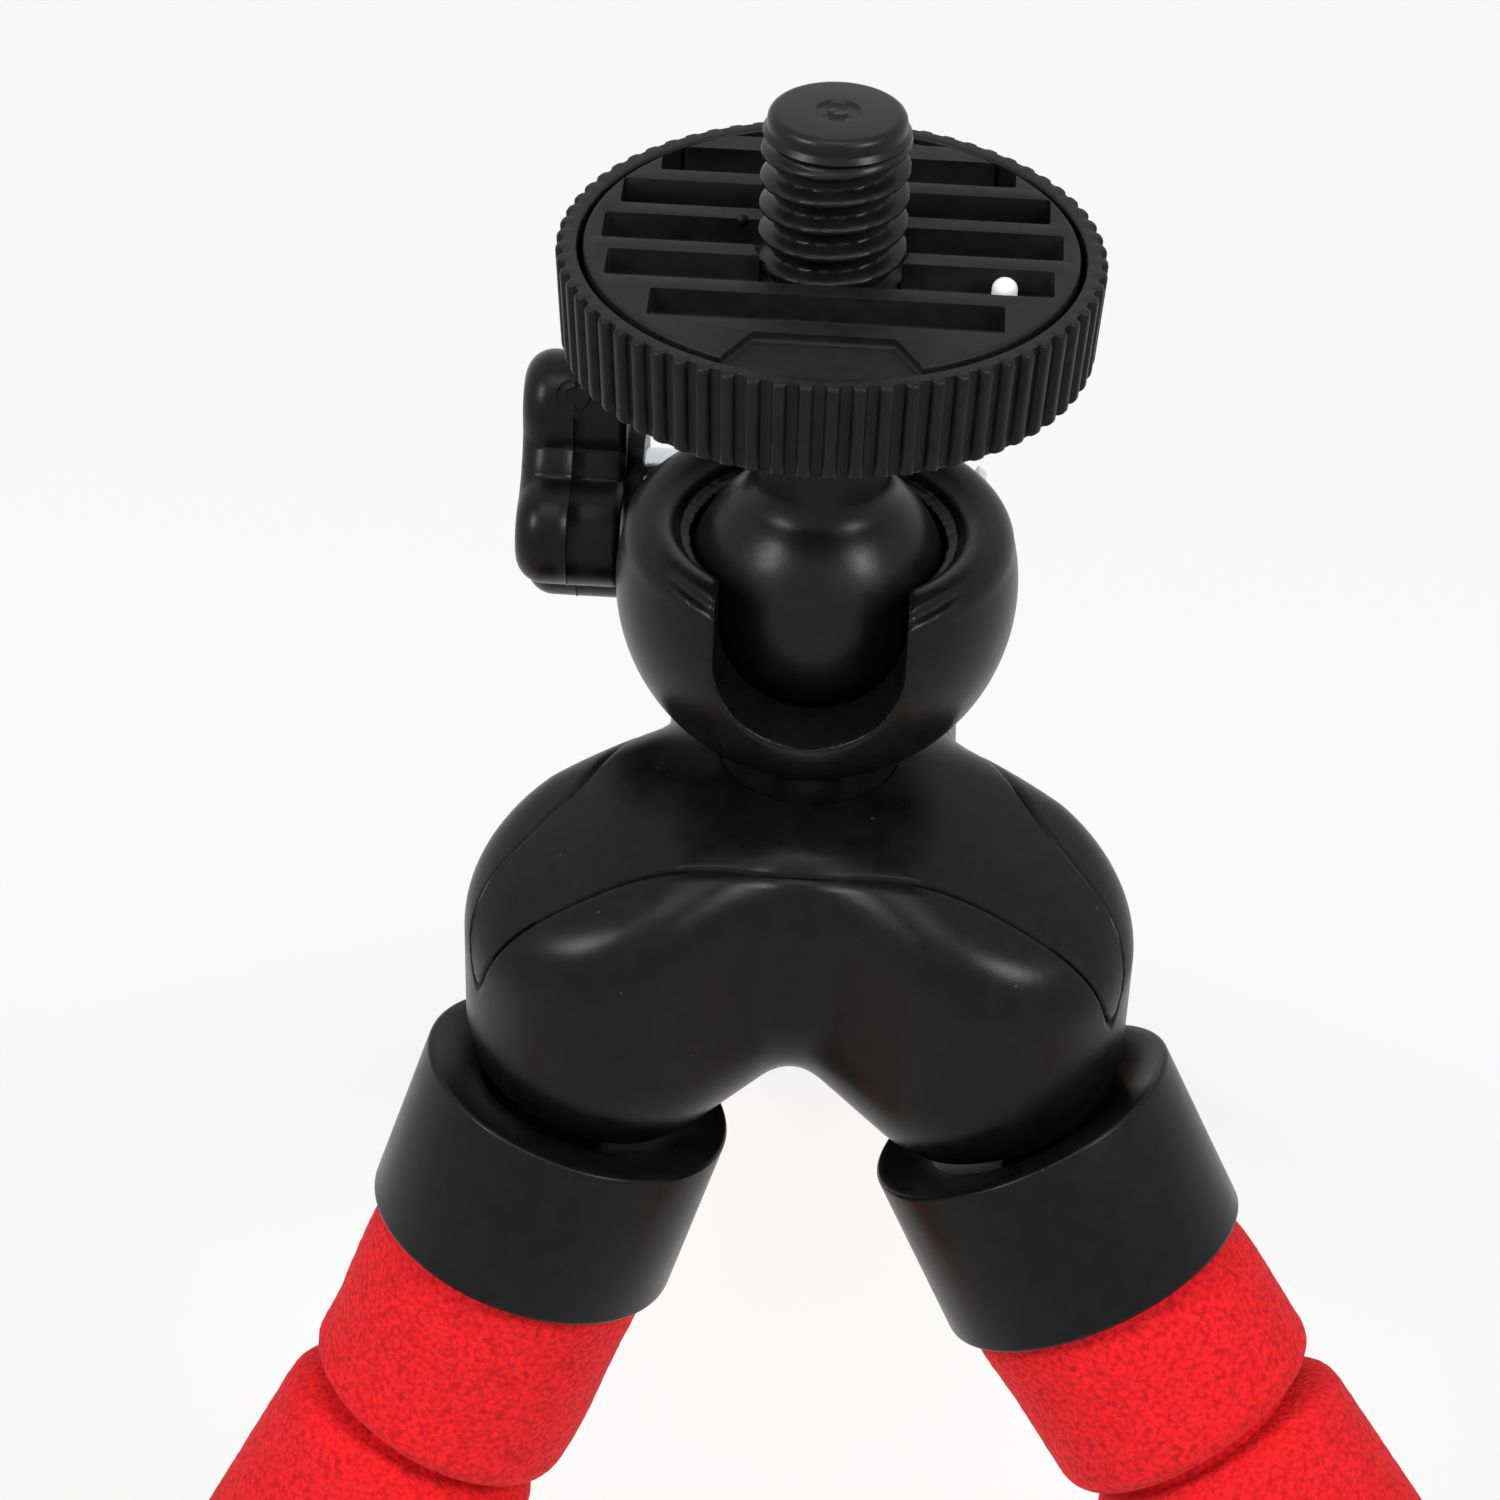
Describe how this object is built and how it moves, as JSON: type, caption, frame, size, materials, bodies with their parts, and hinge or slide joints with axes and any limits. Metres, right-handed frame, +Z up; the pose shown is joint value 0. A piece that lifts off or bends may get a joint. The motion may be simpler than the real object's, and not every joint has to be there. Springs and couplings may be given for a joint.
{
  "type": "flexible leg tripod",
  "caption": "Pocket tripod with bendable red foam legs, a clamped ball head with a front slot, and a knurled lock ring round its camera screw.",
  "frame": {"origin": "middle of the camera seat, on the camera screw's axis", "axes": "+Z up along the camera screw, -Y out of the ball cup's front slot, +X to the right when facing the slot"},
  "size_m": [0.1629, 0.1473, 0.1254],
  "materials": {
    "black_plastic": "satin moulded",
    "soft_black": "soft matt",
    "foam": "closed-cell foam, fine grain",
    "wire": "drawn",
    "steel": "plated",
    "pip": "gloss"
  },
  "bodies": {
    "hub": {"hub_upper": "black_plastic", "hub_lower": "black_plastic"},
    "head_socket": {"ball_cup": "black_plastic", "clamp_nut": "steel", "centre_screw": "steel"},
    "head_ball": {"ball_stud": "black_plastic"},
    "pad": {"camera_pad": "soft_black", "index_pip": "pip"},
    "ring": {"lock_ring": "black_plastic"},
    "clamp": {"clamp_screw": "steel", "clamp_knob": "black_plastic"},
    "leg_front_left_0": {"leg_ball_front_left": "black_plastic", "collar_front_left": "black_plastic"},
    "leg_front_left_1": {"foam_front_left_1": "foam", "wire_front_left_1": "wire"},
    "leg_front_left_2": {"foam_front_left_2": "foam", "wire_front_left_2": "wire"},
    "leg_front_left_3": {"foam_front_left_3": "foam", "wire_front_left_3": "wire"},
    "leg_front_left_4": {"foam_front_left_4": "foam", "wire_front_left_4": "wire"},
    "leg_front_left_5": {"foam_front_left_5": "foam", "wire_front_left_5": "wire"},
    "leg_front_left_6": {"foam_front_left_6": "foam", "wire_front_left_6": "wire", "foot_front_left": "soft_black"},
    "leg_front_right_0": {"leg_ball_front_right": "black_plastic", "collar_front_right": "black_plastic"},
    "leg_front_right_1": {"foam_front_right_1": "foam", "wire_front_right_1": "wire"},
    "leg_front_right_2": {"foam_front_right_2": "foam", "wire_front_right_2": "wire"},
    "leg_front_right_3": {"foam_front_right_3": "foam", "wire_front_right_3": "wire"},
    "leg_front_right_4": {"foam_front_right_4": "foam", "wire_front_right_4": "wire"},
    "leg_front_right_5": {"foam_front_right_5": "foam", "wire_front_right_5": "wire"},
    "leg_front_right_6": {"foam_front_right_6": "foam", "wire_front_right_6": "wire", "foot_front_right": "soft_black"},
    "leg_rear_0": {"leg_ball_rear": "black_plastic", "collar_rear": "black_plastic"},
    "leg_rear_1": {"foam_rear_1": "foam", "wire_rear_1": "wire"},
    "leg_rear_2": {"foam_rear_2": "foam", "wire_rear_2": "wire"},
    "leg_rear_3": {"foam_rear_3": "foam", "wire_rear_3": "wire"},
    "leg_rear_4": {"foam_rear_4": "foam", "wire_rear_4": "wire"},
    "leg_rear_5": {"foam_rear_5": "foam", "wire_rear_5": "wire"},
    "leg_rear_6": {"foam_rear_6": "foam", "wire_rear_6": "wire", "foot_rear": "soft_black"}
  },
  "joints": [
    {"name": "head_pan", "type": "hinge", "parent": "hub", "child": "head_socket", "pos_m": [0, 0, -0.0305], "axis": [0, 0, 1], "continuous": true},
    {"name": "ball_tilt", "type": "hinge", "parent": "head_socket", "child": "head_ball", "pos_m": [0, 0, -0.0172], "axis": [1, 0, 0], "range_deg": [-30, 80]},
    {"name": "pad_lift", "type": "slide", "parent": "head_ball", "child": "pad", "axis": [0, 0, 1], "range_m": [0, 0.00191]},
    {"name": "ring_turn", "type": "hinge", "parent": "pad", "child": "ring", "pos_m": [0, 0, -0.0023], "axis": [0, 0, 1], "range_deg": [0, 540]},
    {"name": "clamp_turn", "type": "hinge", "parent": "head_socket", "child": "clamp", "pos_m": [-0.009, 0.0104, -0.019], "axis": [1, 0, 0], "range_deg": [-180, 180]},
    {"name": "leg_front_left_swing", "type": "hinge", "parent": "hub", "child": "leg_front_left_0", "pos_m": [-0.00866, -0.005, -0.0385], "axis": [-0.5, 0.866, 0], "range_deg": [-12.5, 19.5]},
    {"name": "leg_front_left_bend_1", "type": "hinge", "parent": "leg_front_left_0", "child": "leg_front_left_1", "pos_m": [-0.01248, -0.00721, -0.0503], "axis": [0.5, -0.866, 0], "range_deg": [-14.5, 21.5]},
    {"name": "leg_front_left_bend_2", "type": "hinge", "parent": "leg_front_left_1", "child": "leg_front_left_2", "pos_m": [-0.016, -0.00924, -0.05944], "axis": [-0.7611, -0.4394, 0.4771], "range_deg": [-17.5, 17.5]},
    {"name": "leg_front_left_bend_3", "type": "hinge", "parent": "leg_front_left_2", "child": "leg_front_left_3", "pos_m": [-0.02402, -0.01387, -0.0737], "axis": [-0.5, 0.866, 0], "range_deg": [-28.5, 11]},
    {"name": "leg_front_left_bend_4", "type": "hinge", "parent": "leg_front_left_3", "child": "leg_front_left_4", "pos_m": [-0.03387, -0.01955, -0.08633], "axis": [0.5963, 0.3443, -0.7252], "range_deg": [-17.5, 17.5]},
    {"name": "leg_front_left_bend_5", "type": "hinge", "parent": "leg_front_left_4", "child": "leg_front_left_5", "pos_m": [-0.04531, -0.02616, -0.09703], "axis": [0.5, -0.866, 0], "range_deg": [-11, 28.5]},
    {"name": "leg_front_left_bend_6", "type": "hinge", "parent": "leg_front_left_5", "child": "leg_front_left_6", "pos_m": [-0.05806, -0.03352, -0.10554], "axis": [-0.3732, -0.2155, 0.9024], "range_deg": [-17.5, 17.5]},
    {"name": "leg_front_right_swing", "type": "hinge", "parent": "hub", "child": "leg_front_right_0", "pos_m": [0.00866, -0.005, -0.0385], "axis": [-0.5, -0.866, 0], "range_deg": [-24.5, 7.5]},
    {"name": "leg_front_right_bend_1", "type": "hinge", "parent": "leg_front_right_0", "child": "leg_front_right_1", "pos_m": [0.01452, -0.00839, -0.04913], "axis": [0.5, 0.866, 0], "range_deg": [-9.5, 26.5]},
    {"name": "leg_front_right_bend_2", "type": "hinge", "parent": "leg_front_right_1", "child": "leg_front_right_2", "pos_m": [0.0202, -0.01167, -0.05667], "axis": [0.6392, -0.369, 0.6747], "range_deg": [-19.5, 19.5]},
    {"name": "leg_front_right_bend_3", "type": "hinge", "parent": "leg_front_right_2", "child": "leg_front_right_3", "pos_m": [0.03041, -0.01756, -0.06893], "axis": [-0.5, -0.866, 0], "range_deg": [-22.5, 17]},
    {"name": "leg_front_right_bend_4", "type": "hinge", "parent": "leg_front_right_3", "child": "leg_front_right_4", "pos_m": [0.04113, -0.02374, -0.08058], "axis": [-0.5777, 0.3335, -0.745], "range_deg": [-19.5, 19.5]},
    {"name": "leg_front_right_bend_5", "type": "hinge", "parent": "leg_front_right_4", "child": "leg_front_right_5", "pos_m": [0.05234, -0.03022, -0.09161], "axis": [0.5, 0.866, 0], "range_deg": [-17, 22.5]},
    {"name": "leg_front_right_bend_6", "type": "hinge", "parent": "leg_front_right_5", "child": "leg_front_right_6", "pos_m": [0.06401, -0.03695, -0.10197], "axis": [0.5105, -0.2947, 0.8078], "range_deg": [-19.5, 19.5]},
    {"name": "leg_rear_swing", "type": "hinge", "parent": "hub", "child": "leg_rear_0", "pos_m": [0, 0.01, -0.0385], "axis": [1, 0, 0], "range_deg": [-26, 6]},
    {"name": "leg_rear_bend_1", "type": "hinge", "parent": "leg_rear_0", "child": "leg_rear_1", "pos_m": [0, 0.01705, -0.04895], "axis": [-1, 0, 0], "range_deg": [-6, 30]},
    {"name": "leg_rear_bend_2", "type": "hinge", "parent": "leg_rear_1", "child": "leg_rear_2", "pos_m": [0, 0.02424, -0.05589], "axis": [0, 0.6884, 0.7254], "range_deg": [-19.5, 19.5]},
    {"name": "leg_rear_bend_3", "type": "hinge", "parent": "leg_rear_2", "child": "leg_rear_3", "pos_m": [0, 0.03667, -0.06749], "axis": [1, 0, 0], "range_deg": [-21, 19]},
    {"name": "leg_rear_bend_4", "type": "hinge", "parent": "leg_rear_3", "child": "leg_rear_4", "pos_m": [0, 0.04931, -0.07886], "axis": [0, -0.6626, -0.749], "range_deg": [-19.5, 19.5]},
    {"name": "leg_rear_bend_5", "type": "hinge", "parent": "leg_rear_4", "child": "leg_rear_5", "pos_m": [0, 0.06214, -0.09001], "axis": [-1, 0, 0], "range_deg": [-19, 21]},
    {"name": "leg_rear_bend_6", "type": "hinge", "parent": "leg_rear_5", "child": "leg_rear_6", "pos_m": [0, 0.07516, -0.10094], "axis": [0, 0.6361, 0.7716], "range_deg": [-19.5, 19.5]}
  ],
  "couplings": [
    {"joint": "ring_turn", "follows": "pad_lift", "rad_per_m": 4947.4}
  ]
}
